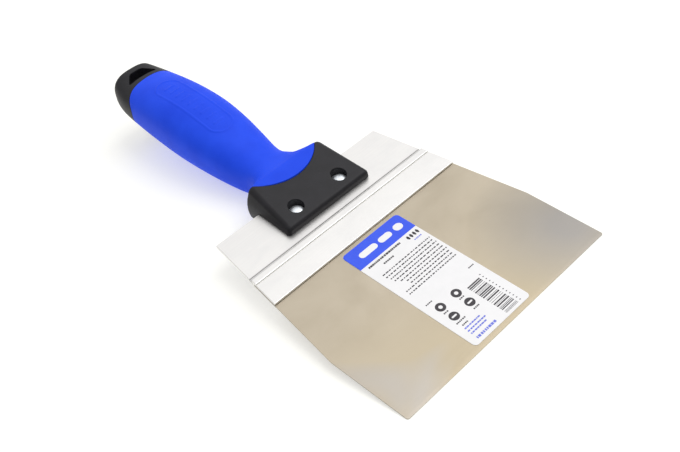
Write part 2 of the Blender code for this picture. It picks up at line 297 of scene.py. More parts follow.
def ring_faces(ring_count, count, closed=False):
    """Quads between consecutive rings, and from the last to the first when closed."""
    faces = []
    for i in range(ring_count if closed else ring_count - 1):
        a = i * count
        b = (i + 1) % ring_count * count
        for j in range(count):
            k = (j + 1) % count
            faces.append((a + j, a + k, b + k, b + j))
    return faces


def loft(name, rings):
    """Closed solid through rings of equal point count, with flat ends."""
    count = len(rings[0])
    verts = [p for ring in rings for p in ring]
    faces = ring_faces(len(rings), count)
    faces.append(tuple(range(count))[::-1])
    faces.append(tuple((len(rings) - 1) * count + j for j in range(count)))
    return mesh_object(name, verts, faces)


def cut(target, cutter, operation="DIFFERENCE"):
    mod = target.modifiers.new("cut", "BOOLEAN")
    mod.operation = operation
    mod.solver = "EXACT"
    mod.object = cutter
    graph = bpy.context.evaluated_depsgraph_get()
    result = bpy.data.meshes.new_from_object(target.evaluated_get(graph))
    target.modifiers.clear()
    target.data = result
    bpy.data.objects.remove(cutter, do_unlink=True)


def place(obj, mat, sharp=35.0, weighted=False):
    """Remember the tool coordinates for the materials, move to the row frame, shade.

    weighted keeps large flat faces flat where they meet narrow rounds."""
    mesh = obj.data
    coords = np.empty(len(mesh.vertices) * 3, np.float32)
    mesh.vertices.foreach_get("co", coords)
    rest = mesh.attributes.new("rest", "FLOAT_VECTOR", "POINT")
    rest.data.foreach_set("vector", coords)
    mesh.transform(TOOL)
    mesh.materials.clear()
    mesh.materials.append(mat)
    mesh.polygons.foreach_set("material_index", [0] * len(mesh.polygons))
    mesh.shade_smooth()
    mesh.set_sharp_from_angle(angle=math.radians(sharp))
    if weighted:
        mod = obj.modifiers.new("normals", "WEIGHTED_NORMAL")
        mod.keep_sharp = True
    return obj


def rounded_rect(half_w, y0, y1, radius, steps=6):
    """Counter-clockwise outline, centred on X = 0."""
    corners = [(half_w, y0, -90), (half_w, y1, 0), (-half_w, y1, 90), (-half_w, y0, 180)]
    outline = []
    for x, y, start in corners:
        cx = x - math.copysign(radius, x)
        cy = y + radius if y == y0 else y - radius
        for i in range(steps + 1):
            a = math.radians(start + 90 * i / steps)
            outline.append((cx + radius * math.cos(a), cy + radius * math.sin(a)))
    return outline


def turned(name, x, y, levels, count=64):
    """Solid turned about a vertical axis from (height, radius) levels, bottom to top."""
    rings = []
    for z, radius in levels:
        angles = [2 * math.pi * i / count for i in range(count)]
        rings.append([(x + radius * math.cos(a), y + radius * math.sin(a), z) for a in angles])
    return loft(name, rings)


# ---------------------------------------------------------------- material nodes

def new_material(name, metallic=0.0, roughness=0.5, specular=0.5):
    mat = bpy.data.materials.new(name)
    mat.use_nodes = True
    shader = mat.node_tree.nodes["Principled BSDF"]
    shader.inputs["Metallic"].default_value = metallic
    shader.inputs["Roughness"].default_value = roughness
    shader.inputs["Specular IOR Level"].default_value = specular
    return mat, mat.node_tree, shader


def rest_coords(tree, scale=(1.0, 1.0, 1.0)):
    """Tool coordinates in millimetres, stretched, that stay with the surface as it bends."""
    rest = tree.nodes.new("ShaderNodeAttribute")
    rest.attribute_name = "rest"
    mapping = tree.nodes.new("ShaderNodeMapping")
    mapping.inputs["Scale"].default_value = scale
    tree.links.new(rest.outputs["Vector"], mapping.inputs["Vector"])
    return mapping.outputs["Vector"]


def noise(tree, scale, detail=2.0, rough=0.5, distortion=0.0):
    """Noise with features about 1 / scale millimetres wide along each axis."""
    node = tree.nodes.new("ShaderNodeTexNoise")
    node.inputs["Scale"].default_value = 1.0
    node.inputs["Detail"].default_value = detail
    node.inputs["Roughness"].default_value = rough
    node.inputs["Distortion"].default_value = distortion
    tree.links.new(rest_coords(tree, scale), node.inputs["Vector"])
    return node.outputs["Fac"]


def remap(tree, value, low, high, to_low=0.0, to_high=1.0):
    node = tree.nodes.new("ShaderNodeMapRange")
    node.inputs["From Min"].default_value = low
    node.inputs["From Max"].default_value = high
    node.inputs["To Min"].default_value = to_low
    node.inputs["To Max"].default_value = to_high
    tree.links.new(value, node.inputs["Value"])
    return node.outputs["Result"]


def math_node(tree, operation, a, b):
    node = tree.nodes.new("ShaderNodeMath")
    node.operation = operation
    for socket, value in zip(node.inputs, (a, b)):
        if isinstance(value, (int, float)):
            socket.default_value = value
        else:
            tree.links.new(value, socket)
    return node.outputs["Value"]


def blend_colors(tree, factor, first, second):
    """Colour between two, each a tuple or a socket."""
    node = tree.nodes.new("ShaderNodeMix")
    node.data_type = "RGBA"
    tree.links.new(factor, node.inputs[0])
    for index, value in ((6, first), (7, second)):
        if isinstance(value, tuple):
            node.inputs[index].default_value = (*value, 1.0)
        else:
            tree.links.new(value, node.inputs[index])
    return node.outputs[2]


def add_bump(tree, shader, height, distance, strength=1.0):
    node = tree.nodes.new("ShaderNodeBump")
    node.inputs["Strength"].default_value = strength
    node.inputs["Distance"].default_value = distance * MM
    tree.links.new(height, node.inputs["Height"])
    tree.links.new(node.outputs["Normal"], shader.inputs["Normal"])


def edge_factor(tree, low, high):
    """One on convex edges, from the shape itself."""
    geometry = tree.nodes.new("ShaderNodeNewGeometry")
    return remap(tree, geometry.outputs["Pointiness"], low, high)


def rest_axis(tree, axis):
    """One tool coordinate in millimetres: 0 for X, 1 for Y, 2 for Z."""
    split = tree.nodes.new("ShaderNodeSeparateXYZ")
    tree.links.new(rest_coords(tree), split.inputs["Vector"])
    return split.outputs[axis]


def near_y(tree, y, reach):
    """One at a distance y from the front edge, fading to zero over reach."""
    distance = math_node(tree, "ABSOLUTE", math_node(tree, "SUBTRACT", rest_axis(tree, 1), y), 0.0)
    return remap(tree, distance, 0.7 * reach, reach, 1.0, 0.0)


def near_spot(tree, x, y, reach):
    """One at a point of the blade, fading to zero over reach."""
    across = math_node(tree, "SUBTRACT", rest_axis(tree, 0), x)
    along = math_node(tree, "SUBTRACT", rest_axis(tree, 1), y)
    square = math_node(tree, "MULTIPLY", across, across)
    square = math_node(tree, "ADD", square, math_node(tree, "MULTIPLY", along, along))
    return remap(tree, math_node(tree, "POWER", square, 0.5), 0.15 * reach, reach, 1.0, 0.0)


def steel_material():
    """Satin rolled steel, warm grey, cloudy, with fine lines across the blade.

    Towards the front edge it is painted darker and browner as shade, and a darker, greyer tone spreads
    from a point near the right side."""
    mat, tree, shader = new_material("spring_steel", metallic=1.0, roughness=0.36)
    cloud = noise(tree, (0.02, 0.03, 0.03), 4.0, 0.55, 0.6)
    patch = noise(tree, (0.012, 0.016, 0.016), 2.0, 0.4, 0.8)
    lines = noise(tree, (0.02, 3.5, 3.5), 3.0, 0.6)
    mottle = remap(tree, cloud, 0.35, 0.68)
    warm = blend_colors(tree, mottle, (0.455, 0.395, 0.304), (0.505, 0.445, 0.352))
    # Painted shade: the blade is darkened and browned towards its front edge.
    front_shade = remap(tree, rest_axis(tree, 1), 8.0, 60.0, 0.9, 0.0)
    warm = blend_colors(tree, front_shade, warm, (0.405, 0.345, 0.245))
    stained_and_darkened = blend_colors(tree, remap(tree, patch, 0.56, 0.72), warm, (0.41, 0.385, 0.36))
    # Darker grey spreading from a point near the right side.
    stained_and_darkened = blend_colors(tree, near_spot(tree, 69.0, 18.0, 52.0), stained_and_darkened, (0.31, 0.292, 0.272))
    tree.links.new(stained_and_darkened, shader.inputs["Base Color"])
    rough = remap(tree, cloud, 0.3, 0.7, 0.3, 0.42)
    scratched = remap(tree, lines, 0.3, 0.7, -0.03, 0.05)
    tree.links.new(math_node(tree, "ADD", rough, scratched), shader.inputs["Roughness"])
    add_bump(tree, shader, lines, 0.012)
    return mat


def aluminium_material():
    """Pale extruded aluminium with draw lines and faint smudges, with painted shade in the grooves."""
    mat, tree, shader = new_material("aluminium", metallic=1.0, roughness=0.34)
    lines = noise(tree, (0.012, 2.2, 2.2), 4.0, 0.65)
    smudge = noise(tree, (0.05, 0.07, 0.07), 3.0, 0.6, 0.5)
    pale = blend_colors(tree, remap(tree, smudge, 0.4, 0.75), (0.87, 0.855, 0.835), (0.80, 0.79, 0.78))
    streaked = blend_colors(tree, remap(tree, lines, 0.35, 0.8), pale, (0.80, 0.79, 0.78))
    # Painted shade: the plate is darkened along the rear groove and, more lightly, along the front
    # groove.
    groove_shade = blend_colors(tree, near_y(tree, GROOVE_REAR + 0.5, 1.6), streaked, (0.62, 0.61, 0.60))
    groove_shade = blend_colors(tree, near_y(tree, GROOVE_FRONT + 0.1, 0.4), groove_shade, (0.8, 0.79, 0.77))
    tree.links.new(groove_shade, shader.inputs["Base Color"])
    tree.links.new(remap(tree, lines, 0.3, 0.7, 0.28, 0.4), shader.inputs["Roughness"])
    add_bump(tree, shader, lines, 0.015)
    return mat


def hard_plastic_material():
    """Black moulded plastic: fine spark-eroded grain with a few pale scuffs."""
    mat, tree, shader = new_material("hard_plastic", roughness=0.5, specular=0.34)
    grain = noise(tree, (3.2, 3.2, 3.2), 2.0, 0.6)
    tone = noise(tree, (0.12, 0.12, 0.12), 3.0, 0.6)
    uneven = remap(tree, tone, 0.3, 0.7)
    body = blend_colors(tree, uneven, (0.0052, 0.0046, 0.0070), (0.0096, 0.0087, 0.0126))
    scuffs = noise(tree, (0.25, 1.4, 0.9), 4.0, 0.7)
    scuffed = blend_colors(tree, remap(tree, scuffs, 0.66, 0.8), body, (0.035, 0.034, 0.037))
    tree.links.new(scuffed, shader.inputs["Base Color"])
    tree.links.new(remap(tree, grain, 0.3, 0.7, 0.42, 0.58), shader.inputs["Roughness"])
    add_bump(tree, shader, grain, 0.05, 0.6)
    return mat


def soft_grip_material():
    """Blue thermoplastic rubber: matte, finely grained, slightly cloudy, with a painted highlight of
    brighter blue on convex edges.
    """
    mat, tree, shader = new_material("soft_grip", roughness=0.55, specular=0.2)
    grain = noise(tree, (2.4, 2.4, 2.4), 2.0, 0.55)
    tone = noise(tree, (0.06, 0.06, 0.06), 3.0, 0.5)
    body = blend_colors(tree, remap(tree, tone, 0.3, 0.7), (0.007, 0.063, 0.82), (0.012, 0.079, 0.91))
    # Painted highlight: convex edges are coloured a brighter blue.
    edge_highlight = blend_colors(tree, edge_factor(tree, 0.53, 0.62), body, (0.03, 0.125, 1.0))
    tree.links.new(edge_highlight, shader.inputs["Base Color"])
    tree.links.new(remap(tree, grain, 0.3, 0.7, 0.5, 0.64), shader.inputs["Roughness"])
    add_bump(tree, shader, grain, 0.04, 0.5)
    return mat


def rivet_material():
    """Bright plated rivet with a few dull spots."""
    mat, tree, shader = new_material("rivet_metal", metallic=1.0, roughness=0.5)
    spots = noise(tree, (0.9, 0.9, 0.9), 3.0, 0.6, 0.4)
    color = blend_colors(tree, remap(tree, spots, 0.42, 0.68), (0.93, 0.96, 1.0), (0.80, 0.85, 0.90))
    tree.links.new(color, shader.inputs["Base Color"])
    tree.links.new(remap(tree, spots, 0.3, 0.7, 0.44, 0.58), shader.inputs["Roughness"])
    add_bump(tree, shader, spots, 0.06, 0.5)
    return mat


def film_material(name, first, second, roughness=0.38):
    """Printed or plain label film, slightly uneven, under a thin clear coat."""
    mat, tree, shader = new_material(name, roughness=roughness, specular=0.4)
    shader.inputs["Coat Weight"].default_value = 0.25
    shader.inputs["Coat Roughness"].default_value = 0.2
    tone = noise(tree, (0.12, 0.12, 0.12), 3.0, 0.55)
    color = blend_colors(tree, remap(tree, tone, 0.3, 0.7), first, second)
    tree.links.new(color, shader.inputs["Base Color"])
    ripple = noise(tree, (0.09, 0.09, 0.09), 1.0)
    add_bump(tree, shader, ripple, 0.08, 0.5)
    return mat


# ---------------------------------------------------------------- blade and label

def sheet_rows():
    """Rows of the blade, shared by the label and its print so that all bend alike."""
    return spread(EDGE_GRIND + 0.4, LIP_Y, ROW_STEP)


def blade_thickness(y):
    share = min(1.0, y / EDGE_GRIND)
    return EDGE_T + (BLADE_T - EDGE_T) * share


def blade_ring(y, half):
    """Cross-section of the sheet at y: top edge left to right, then back underneath.

    The front edge is ground mostly from below."""
    low = -blade_thickness(y) / 2
    high = BLADE_T / 2 - 0.25 * (BLADE_T / 2 + low)
    xs = [(half - BLADE_RIM) * (2 * i / BLADE_COLUMNS - 1) for i in range(BLADE_COLUMNS + 1)]
    top = [(-half, y, high - BLADE_RIM)] + [(x, y, high) for x in xs] + [(half, y, high - BLADE_RIM)]
    return top + [(x, y, low + high - z) for x, y, z in reversed(top)]


def build_blade():
    """Spring-steel sheet: parallel sides, tapered rear, rounded corners, ground front edge."""
    stations = []
    for i in range(7):
        a = math.radians(-90 + 15 * i)
        half = BLADE_HALF - BLADE_CORNER + BLADE_CORNER * math.cos(a)
        stations.append((BLADE_CORNER + BLADE_CORNER * math.sin(a), half))
    rows = [EDGE_GRIND, KINK_Y] + sheet_rows() + spread(LIP_Y + 1.0, BLADE_REAR, 5.0)
    stations += [(y, side_x(y)) for y in sorted(rows)]
    sheet = loft("steel_blade", [blade_ring(y, half) for y, half in stations])
    return place(sheet, steel_material())


def slabs(name, outlines, z0, z1):
    """Flat closed prisms over outlines, split along the blade's rows."""
    work = bmesh.new()
    for outline in outlines:
        low = [work.verts.new((x, y, z0)) for x, y in outline]
        high = [work.verts.new((x, y, z1)) for x, y in outline]
        work.faces.new(low[::-1])
        work.faces.new(high)
        for i in range(len(outline)):
            k = (i + 1) % len(outline)
            work.faces.new((low[i], low[k], high[k], high[i]))
    for y in sheet_rows():
        geom = work.verts[:] + work.edges[:] + work.faces[:]
        bmesh.ops.bisect_plane(work, geom=geom, dist=1e-5, plane_co=(0, y, 0), plane_no=(0, 1, 0))
    bmesh.ops.recalc_face_normals(work, faces=work.faces)
    mesh = bpy.data.meshes.new(name)
    work.to_mesh(mesh)
    work.free()
    obj = bpy.data.objects.new(name, mesh)
    bpy.context.scene.collection.objects.link(obj)
    return obj


def box_outline(x0, x1, y0, y1):
    return [(x0, y0), (x1, y0), (x1, y1), (x0, y1)]


def pill_outline(x0, x1, y0, y1, steps=6):
    """Bar with half-round ends."""
    radius = (y1 - y0) / 2
    middle = (y0 + y1) / 2
    outline = []
    for cx, start in ((x1 - radius, -90), (x0 + radius, 90)):
        for i in range(steps + 1):
            a = math.radians(start + 180 * i / steps)
            outline.append((cx + radius * math.cos(a), middle + radius * math.sin(a)))
    return outline


def disc_outline(x, y, radius, count=36):
    angles = [2 * math.pi * i / count for i in range(count)]
    return [(x + radius * math.cos(a), y + radius * math.sin(a)) for a in angles]


def dash_row(dice, x0, x1, y, height, longest, gap):
    """A row of short bars of uneven length, as a line of print looks from a distance."""
    dashes = []
    x = x0
    while x < x1 - 0.5:
        end = min(x1, x + dice.uniform(0.7, longest))
        dashes.append(box_outline(x, end, y - height / 2, y + height / 2))
        x = end + dice.uniform(0.6, 1.4) * gap
    return dashes


def dash_rows(dice, rows):
    return [dash for row in rows for dash in dash_row(dice, *row)]


def dark_print(dice):
    """Heading, four thick strokes, a paragraph and the rows below it, with no lettering."""
    marks = dash_rows(dice, HEADING)
    for i in range(4):
        marks.append(pill_outline(7.8 + 2.3 * i, 9.5 + 2.3 * i, 72.9, 75.6))
    for i, left in enumerate(PARAGRAPH_LEFT):
        y = PARAGRAPH_TOP - PARAGRAPH_PITCH * i
        marks += dash_row(dice, left, PARAGRAPH_RIGHT, y, 0.7, 2.0, 0.6)
    return marks + dash_rows(dice, LOWER_ROWS)


def icon_centres():
    return [(x, y) for x in (-16.3, -4.5) for y in (22.5, 31.1)]


def bar_pattern(dice):
    """Plain parallel bars of uneven thickness, with a row of dots beside them."""
    bars = []
    y = 4.8
    while y < 29.2:
        thick = dice.choice((0.2, 0.2, 0.25, 0.4, 0.6, 0.8))
        bars.append(box_outline(1.5, 10.6, y, min(y + thick, 29.4)))
        y += thick + dice.choice((0.4, 0.5, 0.8, 1.0))
    for y in spread(5.2, 30.0, 2.0):
        bars.append(box_outline(12.1, 12.9, y - 0.25, y + 0.25))
    return bars


def white_print():
    """Plain bars on the blue band and a simple mark on each icon."""
    marks = [
        pill_outline(-17.6, -5.0, 82.0, 86.0),
        pill_outline(-3.2, 6.0, 82.0, 86.0),
        pill_outline(8.4, 14.4, 81.6, 86.4),
    ]
    for i, (x, y) in enumerate(icon_centres()):
        if i % 2:
            marks.append(disc_outline(x, y, 1.1, 20))
        else:
            marks.append(pill_outline(x - 1.7, x + 1.7, y - 0.5, y + 0.5, 4))
    return marks


def band_outline():
    """Rear end of the label's outline, cut straight at the front of the band."""
    outline = rounded_rect(LABEL_HALF, BAND_FRONT, LABEL_REAR, LABEL_CORNER)
    rear = [p for p in outline if p[1] > (BAND_FRONT + LABEL_REAR) / 2]
    return [(-LABEL_HALF, BAND_FRONT), (LABEL_HALF, BAND_FRONT)] + rear


def moved_x(outlines):
    return [[(x + LABEL_X, y) for x, y in outline] for outline in outlines]


def build_label():
    """Film and its printed layers, each a thin solid lying on the one below."""
    dice = random.Random(7)
    top = LABEL_Z + LABEL_T
    white = film_material("film_white", (0.89, 0.885, 0.893), (0.93, 0.92, 0.928))
    blue = film_material("ink_blue", (0.017, 0.077, 0.83), (0.024, 0.096, 0.91))
    dark = film_material("ink_dark", (0.022, 0.018, 0.024), (0.036, 0.030, 0.038), 0.5)
    pale_blue = film_material("ink_pale_blue", (0.12, 0.16, 0.70), (0.16, 0.20, 0.78), 0.5)
    film = moved_x([rounded_rect(LABEL_HALF, LABEL_FRONT, LABEL_REAR, LABEL_CORNER)])
    icons = [disc_outline(x, y, ICON_R) for x, y in icon_centres()]
    marks = dark_print(dice) + icons + bar_pattern(dice)
    blue_rows = dash_rows(dice, BLUE_ROWS)
    layers = [
        (slabs("label_film", film, LABEL_Z, top), white),
        (slabs("label_band", moved_x([band_outline()]), top - INK_T, top + INK_T), blue),
        (slabs("label_dark_print", marks, top - INK_T, top + INK_T), dark),
        (slabs("label_blue_print", blue_rows, top - INK_T, top + INK_T), pale_blue),
        (slabs("label_white_marks", white_print(), top, top + 2 * INK_T), white),
    ]
    for obj, mat in layers:
        place(obj, mat)
    return [obj for obj, _ in layers]


# ---------------------------------------------------------------- holder and rivets

def holder_profile():
    """Upper half of the extrusion's section as (Y, Z), front to rear, with rounded details."""
    points = [(LIP_Y, SLOT_HALF), (LIP_Y, LIP_TOP - 0.35)]
    points += arc(LIP_Y + 0.35, LIP_TOP - 0.35, 0.35, 180, 90, 4)[1:]
    points += [(GROOVE_FRONT - 0.35, LIP_TOP)]
    points += [(GROOVE_FRONT - 0.22, LIP_TOP - 0.06), (GROOVE_FRONT - 0.1, LIP_TOP - 0.4)]
    points += [(GROOVE_FRONT + 0.18, LIP_TOP - 0.45)]
    points += arc(GROOVE_FRONT + 0.75, BEAD_TOP - 0.5, 0.5, 180, 90, 4)
    points += arc(GROOVE_REAR - 0.8, BEAD_TOP - 0.5, 0.5, 90, 0, 4)
    points += [(GROOVE_REAR - 0.25, PLATE_TOP - 0.35), (GROOVE_REAR + 0.2, PLATE_TOP - 0.45)]
    points += [(GROOVE_REAR + 1.25, PLATE_TOP - 0.4), (GROOVE_REAR + 1.5, PLATE_TOP)]
    points += [(HOLDER_REAR - 0.2, PLATE_TOP), (HOLDER_REAR, PLATE_TOP - 0.2)]
    return points


def arc(cy, cz, radius, start, stop, steps):
    """Points (Y, Z) on an arc, from a start to a stop angle in degrees."""
    points = []
    for i in range(steps + 1):
        a = math.radians(start + (stop - start) * i / steps)
        points.append((cy + radius * math.cos(a), cz + radius * math.sin(a)))
    return points


def shrunk(profile, amount):
    """Closed (Y, Z) profile moved inwards along its normals."""
    pts = np.array(profile)
    tangent = np.roll(pts, -1, 0) - np.roll(pts, 1, 0)
    normal = np.stack((-tangent[:, 1], tangent[:, 0]), 1)
    normal /= np.linalg.norm(normal, axis=1)[:, None]
    area = np.sum(pts[:, 0] * np.roll(pts[:, 1], -1) - np.roll(pts[:, 0], -1) * pts[:, 1])
    return pts + normal * amount * (1 if area > 0 else -1)


def build_holder():
    """Extruded holder, cut off along the blade's taper, with a slight chamfer at the cuts."""
    upper = holder_profile()
    lower = [(y, -z) for y, z in reversed(upper)]
    profile = upper + lower + [(SLOT_END, -SLOT_HALF), (SLOT_END, SLOT_HALF)]
    small = shrunk(profile, HOLDER_CHAMFER)
    ends = (0.0, small), (HOLDER_CHAMFER, profile)
    left = [[(-side_x(y) + inset, y, z) for y, z in shape] for inset, shape in ends]
    right = [[(side_x(y) - inset, y, z) for y, z in shape] for inset, shape in reversed(ends)]
    shares = [-0.9 + 0.2 * i for i in range(10)]
    between = [[(share * side_x(y), y, z) for y, z in profile] for share in shares]
    holder = loft("aluminium_holder", left + between + right)
    return place(holder, aluminium_material(), 28.0, weighted=True)


def build_rivet(name, x, mat):
    """Domed head in its bore, shank through the plate, rolled tail underneath."""
    dome = [(HEAD_Z + HEAD_H * (1 - share ** 3), HEAD_R * share) for share in
            (0.97, 0.93, 0.87, 0.78, 0.66, 0.5, 0.34, 0.18, 0.06)]
    tail = -HEAD_Z - TAIL_H
    levels = [
        (tail + 0.5, 0.3), (tail + 0.5, SHANK_R * 0.6), (tail + 0.1, SHANK_R * 0.8),
        (tail, HEAD_R - 1.4), (tail + 0.12, HEAD_R - 0.9), (tail + 0.4, HEAD_R - 0.6),
        (-HEAD_Z, HEAD_R - 0.5), (-HEAD_Z + 0.01, SHANK_R), (HEAD_Z - 0.01, SHANK_R),
        (HEAD_Z, HEAD_R - 0.05), (HEAD_Z + 0.08, HEAD_R),
    ]
    return place(turned(name, x, RIVET_Y, levels + dome), mat, 50.0)


# ---------------------------------------------------------------- handle surfaces

def section_at(y):
    """Smoothly interpolated handle section: half width, top, bottom, squareness."""
    y = min(max(y, HANDLE[0][0]), HANDLE[-1][0])
    i = 0
    while i < len(HANDLE) - 2 and y > HANDLE[i + 1][0]:
        i += 1
    rows = [HANDLE[max(i - 1, 0)], HANDLE[i], HANDLE[i + 1], HANDLE[min(i + 2, len(HANDLE) - 1)]]
    span = rows[2][0] - rows[1][0]
    t = (y - rows[1][0]) / span
    values = []
    for k in range(1, 5):
        before = (rows[2][k] - rows[0][k]) / max(rows[2][0] - rows[0][0], 1e-6) * span
        after = (rows[3][k] - rows[1][k]) / max(rows[3][0] - rows[1][0], 1e-6) * span
        a, b = rows[1][k], rows[2][k]
        curve = (2 * t ** 3 - 3 * t ** 2 + 1) * a + (t ** 3 - 2 * t ** 2 + t) * before
        curve += (3 * t ** 2 - 2 * t ** 3) * b + (t ** 3 - t ** 2) * after
        values.append(curve)
    return values


def even_section(y):
    """Section outline with evenly spaced points, from the bottom centre round."""
    half, top, bottom, square = section_at(y)
    angle = np.linspace(-0.5 * math.pi, 1.5 * math.pi, SECTION_POINTS)
    c, s = np.cos(angle), np.sin(angle)
    x = half * np.sign(c) * np.abs(c) ** (2 / square)
    z = (top - bottom) / 2 + (top + bottom) / 2 * np.sign(s) * np.abs(s) ** (2 / square)
    length = np.concatenate(([0.0], np.cumsum(np.hypot(np.diff(x), np.diff(z)))))
    at = (np.arange(LINES) + 0.5) / LINES * length[-1]
    return np.interp(at, length, x), np.interp(at, length, z)


TABLE_Y = np.arange(HANDLE[0][0], HANDLE[-1][0] + TABLE_STEP / 2, TABLE_STEP)
TABLE = np.array([even_section(y) for y in TABLE_Y])


def on_lines(y):
    """X and Z of every lengthwise line, each at its own y."""
    row = np.clip((np.asarray(y) - TABLE_Y[0]) / TABLE_STEP, 0, len(TABLE_Y) - 1.001)
    low = row.astype(int)
    share = row - low
    lines = np.arange(LINES)
    x = TABLE[low, 0, lines] * (1 - share) + TABLE[low + 1, 0, lines] * share
    z = TABLE[low, 1, lines] * (1 - share) + TABLE[low + 1, 1, lines] * share
    return x, z


def outward(x, z):
    """Unit normals of a ring in its own X-Z plane."""
    tx = np.roll(x, -1) - np.roll(x, 1)
    tz = np.roll(z, -1) - np.roll(z, 1)
    size = np.hypot(tx, tz)
    return tz / size, -tx / size


def solve_edge(rule, start):
    """Y of an edge that depends on where each line runs: y = rule(x, z)."""
    y = np.full(LINES, float(start))
    for _ in range(12):
        y = 0.5 * y + 0.5 * rule(*on_lines(y))
    return y


def smooth(t):
    t = np.clip(t, 0.0, 1.0)
    return t * t * (3 - 2 * t)


def sleeve_front_rule(x, z):
    """The tongue's arc on top of the bolster, the bolster's rear face elsewhere."""
    radius = RECESS_RADIUS - SEAM
    curve = RECESS_CENTRE - np.sqrt(np.maximum(radius ** 2 - x ** 2, 0.0))
    floor = RECESS_FLOOR + GAP
    on_top = smooth((z - floor) / 1.6)
    rear = BOLSTER_REAR + SEAM
    return rear + (np.minimum(curve, rear) - rear) * on_top


def sleeve_rear_rule(x, z):
    """Almost straight across the top, curving forward down the sides."""
    return GRIP_END + GRIP_SKEW * x - GRIP_SAG * smooth((SAG_TOP - z) / SAG_DROP)


FRONT_EDGE = solve_edge(sleeve_front_rule, BOLSTER_REAR)
REAR_EDGE = solve_edge(sleeve_rear_rule, GRIP_END)


def grip_marks(x, y):
    """Height of the raised marks: an outline with round ends and short bars inside."""
    along = np.maximum(np.abs(y - MARK_Y) - (MARK_LENGTH - MARK_WIDTH), 0.0)
    to_outline = np.abs(np.hypot(x, along) - MARK_WIDTH) - MARK_LINE
    height = smooth(-to_outline / MARK_SOFT + 0.5)
    for i in range(BAR_COUNT):
        bar_y = MARK_Y + (i - (BAR_COUNT - 1) / 2) * BAR_PITCH
        across = np.maximum(np.abs(x) - (BAR_HALF - BAR_THICK), 0.0)
        to_bar = np.hypot(across, y - bar_y) - BAR_THICK
        height = np.maximum(height, smooth(-to_bar / MARK_SOFT + 0.5))
    return MARK_HEIGHT * height


def sleeve_shares():
    """Rows of the sleeve as shares of its length, closer at the ends and at the marks."""
    length = float(np.mean(REAR_EDGE - FRONT_EDGE))
    ends = round_steps(GRIP_ROUND) + list(END_ROWS)
    middle = MARK_Y - float(FRONT_EDGE.min())
    marks_from = middle - MARK_LENGTH - MARK_MARGIN
    marks_to = middle + MARK_LENGTH + MARK_MARGIN
    full = float((REAR_EDGE - FRONT_EDGE).max())
    rows = spread(FIRST_ROW, marks_from, COARSE_ROWS)
    rows += spread(marks_from, marks_to, FINE_ROWS)[1:]
    rows += spread(marks_to, full - FIRST_ROW, COARSE_ROWS)[1:]
    front_shade = [d / length for d in ends]
    rear = [1 - share for share in reversed(front_shade)]
    return front_shade + [d / full for d in rows] + rear


def sleeve_ring(share):
    """Outer surface at a share of each line's length, with rounded edges and marks."""
    y = FRONT_EDGE + (REAR_EDGE - FRONT_EDGE) * share
    x, z = on_lines(y)
    nx, nz = outward(x, z)
    lean = np.sqrt(np.maximum(1 - (x / RECESS_RADIUS) ** 2, 0.2))
    from_front = (y - FRONT_EDGE) * np.where(z > RECESS_FLOOR, lean, 1.0)
    inset = np.array([round_inset(min(a, b), GRIP_ROUND) for a, b in zip(from_front, REAR_EDGE - y)])
    lift = np.where(z > 0, grip_marks(x, y), 0.0) - inset
    return np.stack((x + nx * lift, y, z + nz * lift), 1)


def offset_ring(y, inset):
    """Handle surface at each line's own y, moved inwards by inset."""
    x, z = on_lines(y)
    nx, nz = outward(x, z)
    return np.stack((x - nx * inset, y, z - nz * inset), 1)


def under_ceiling(ring, ceiling):
    """Ring kept below a ceiling that rises behind the bolster."""
    limit = ceiling + TANG_RISE * np.maximum(0.0, ring[:, 1] - BOLSTER_REAR)
    ring[:, 2] = np.minimum(ring[:, 2], limit)
    return ring


def build_sleeve():
    """Soft sleeve as one shell: outer surface, rounded ends and the bore for the tang."""
    rings = [sleeve_ring(share) for share in sleeve_shares()]
    for share in (1.0, 0.8, 0.6, 0.4, 0.25, 0.15, 0.08, 0.0):
        y = FRONT_EDGE + (REAR_EDGE - FRONT_EDGE) * share
        rings.append(under_ceiling(offset_ring(y, WALL - GAP), RECESS_FLOOR + GAP))
    verts = np.concatenate(rings)
    sleeve = mesh_object("soft_grip_sleeve", verts, ring_faces(len(rings), LINES, closed=True))
    return place(sleeve, soft_grip_material(), 60.0)


# ---------------------------------------------------------------- hard plastic core

def bolster_top(y):
    return BOLSTER_TOP + BOLSTER_SLOPE * (y - BOLSTER_FRONT)


def bolster_under(y):
    return -BOLSTER_BOTTOM - BOLSTER_DROP * (y - BOLSTER_FRONT)


def bolster_ring(height_at, depth, inset, share=1.0):
    """Outline of the bolster at a share of a surface's height, less a depth, drawn in by inset."""
    outline = rounded_rect(BOLSTER_HALF, BOLSTER_FRONT, BOLSTER_REAR, BOLSTER_CORNER, 8)
    middle = (BOLSTER_FRONT + BOLSTER_REAR) / 2
    shorten = 1 - 2 * inset / (BOLSTER_REAR - BOLSTER_FRONT)
    ring = []
    for x, y in outline:
        z = share * height_at(y)
        z -= math.copysign(depth, z)
        barrel = BOLSTER_BARREL * (z - BOLSTER_WIDEST) ** 2
        taper = BOLSTER_TAPER * (y - BOLSTER_FRONT)
        narrow = 1 - (barrel + inset + taper) / BOLSTER_HALF
        ring.append((x * narrow, middle + (y - middle) * shorten, z))
    return ring


def over_bolster(x, y):
    return bolster_top(y)


def under_bolster(x, y):
    return bolster_under(y)


def over_butt(x, y):
    return handle_height(x, y, 1)


def under_butt(x, y):
    return handle_height(x, y, -1)


def rim_rings(outline_at, surface_at, side):
    """Rings of a cutter that leaves the body through a rounded rim; side 1 is upwards.

    outline_at(extra) gives the outline grown by extra."""
    rings = []
    for depth in reversed(round_steps(RIM_ROUND)):
        outline = outline_at(round_inset(depth, RIM_ROUND))
        rings.append([(x, y, surface_at(x, y) - side * depth) for x, y in outline])
    rings.append([(x, y, surface_at(x, y) + side * OUTSIDE) for x, y in outline_at(RIM_ROUND)])
    return rings


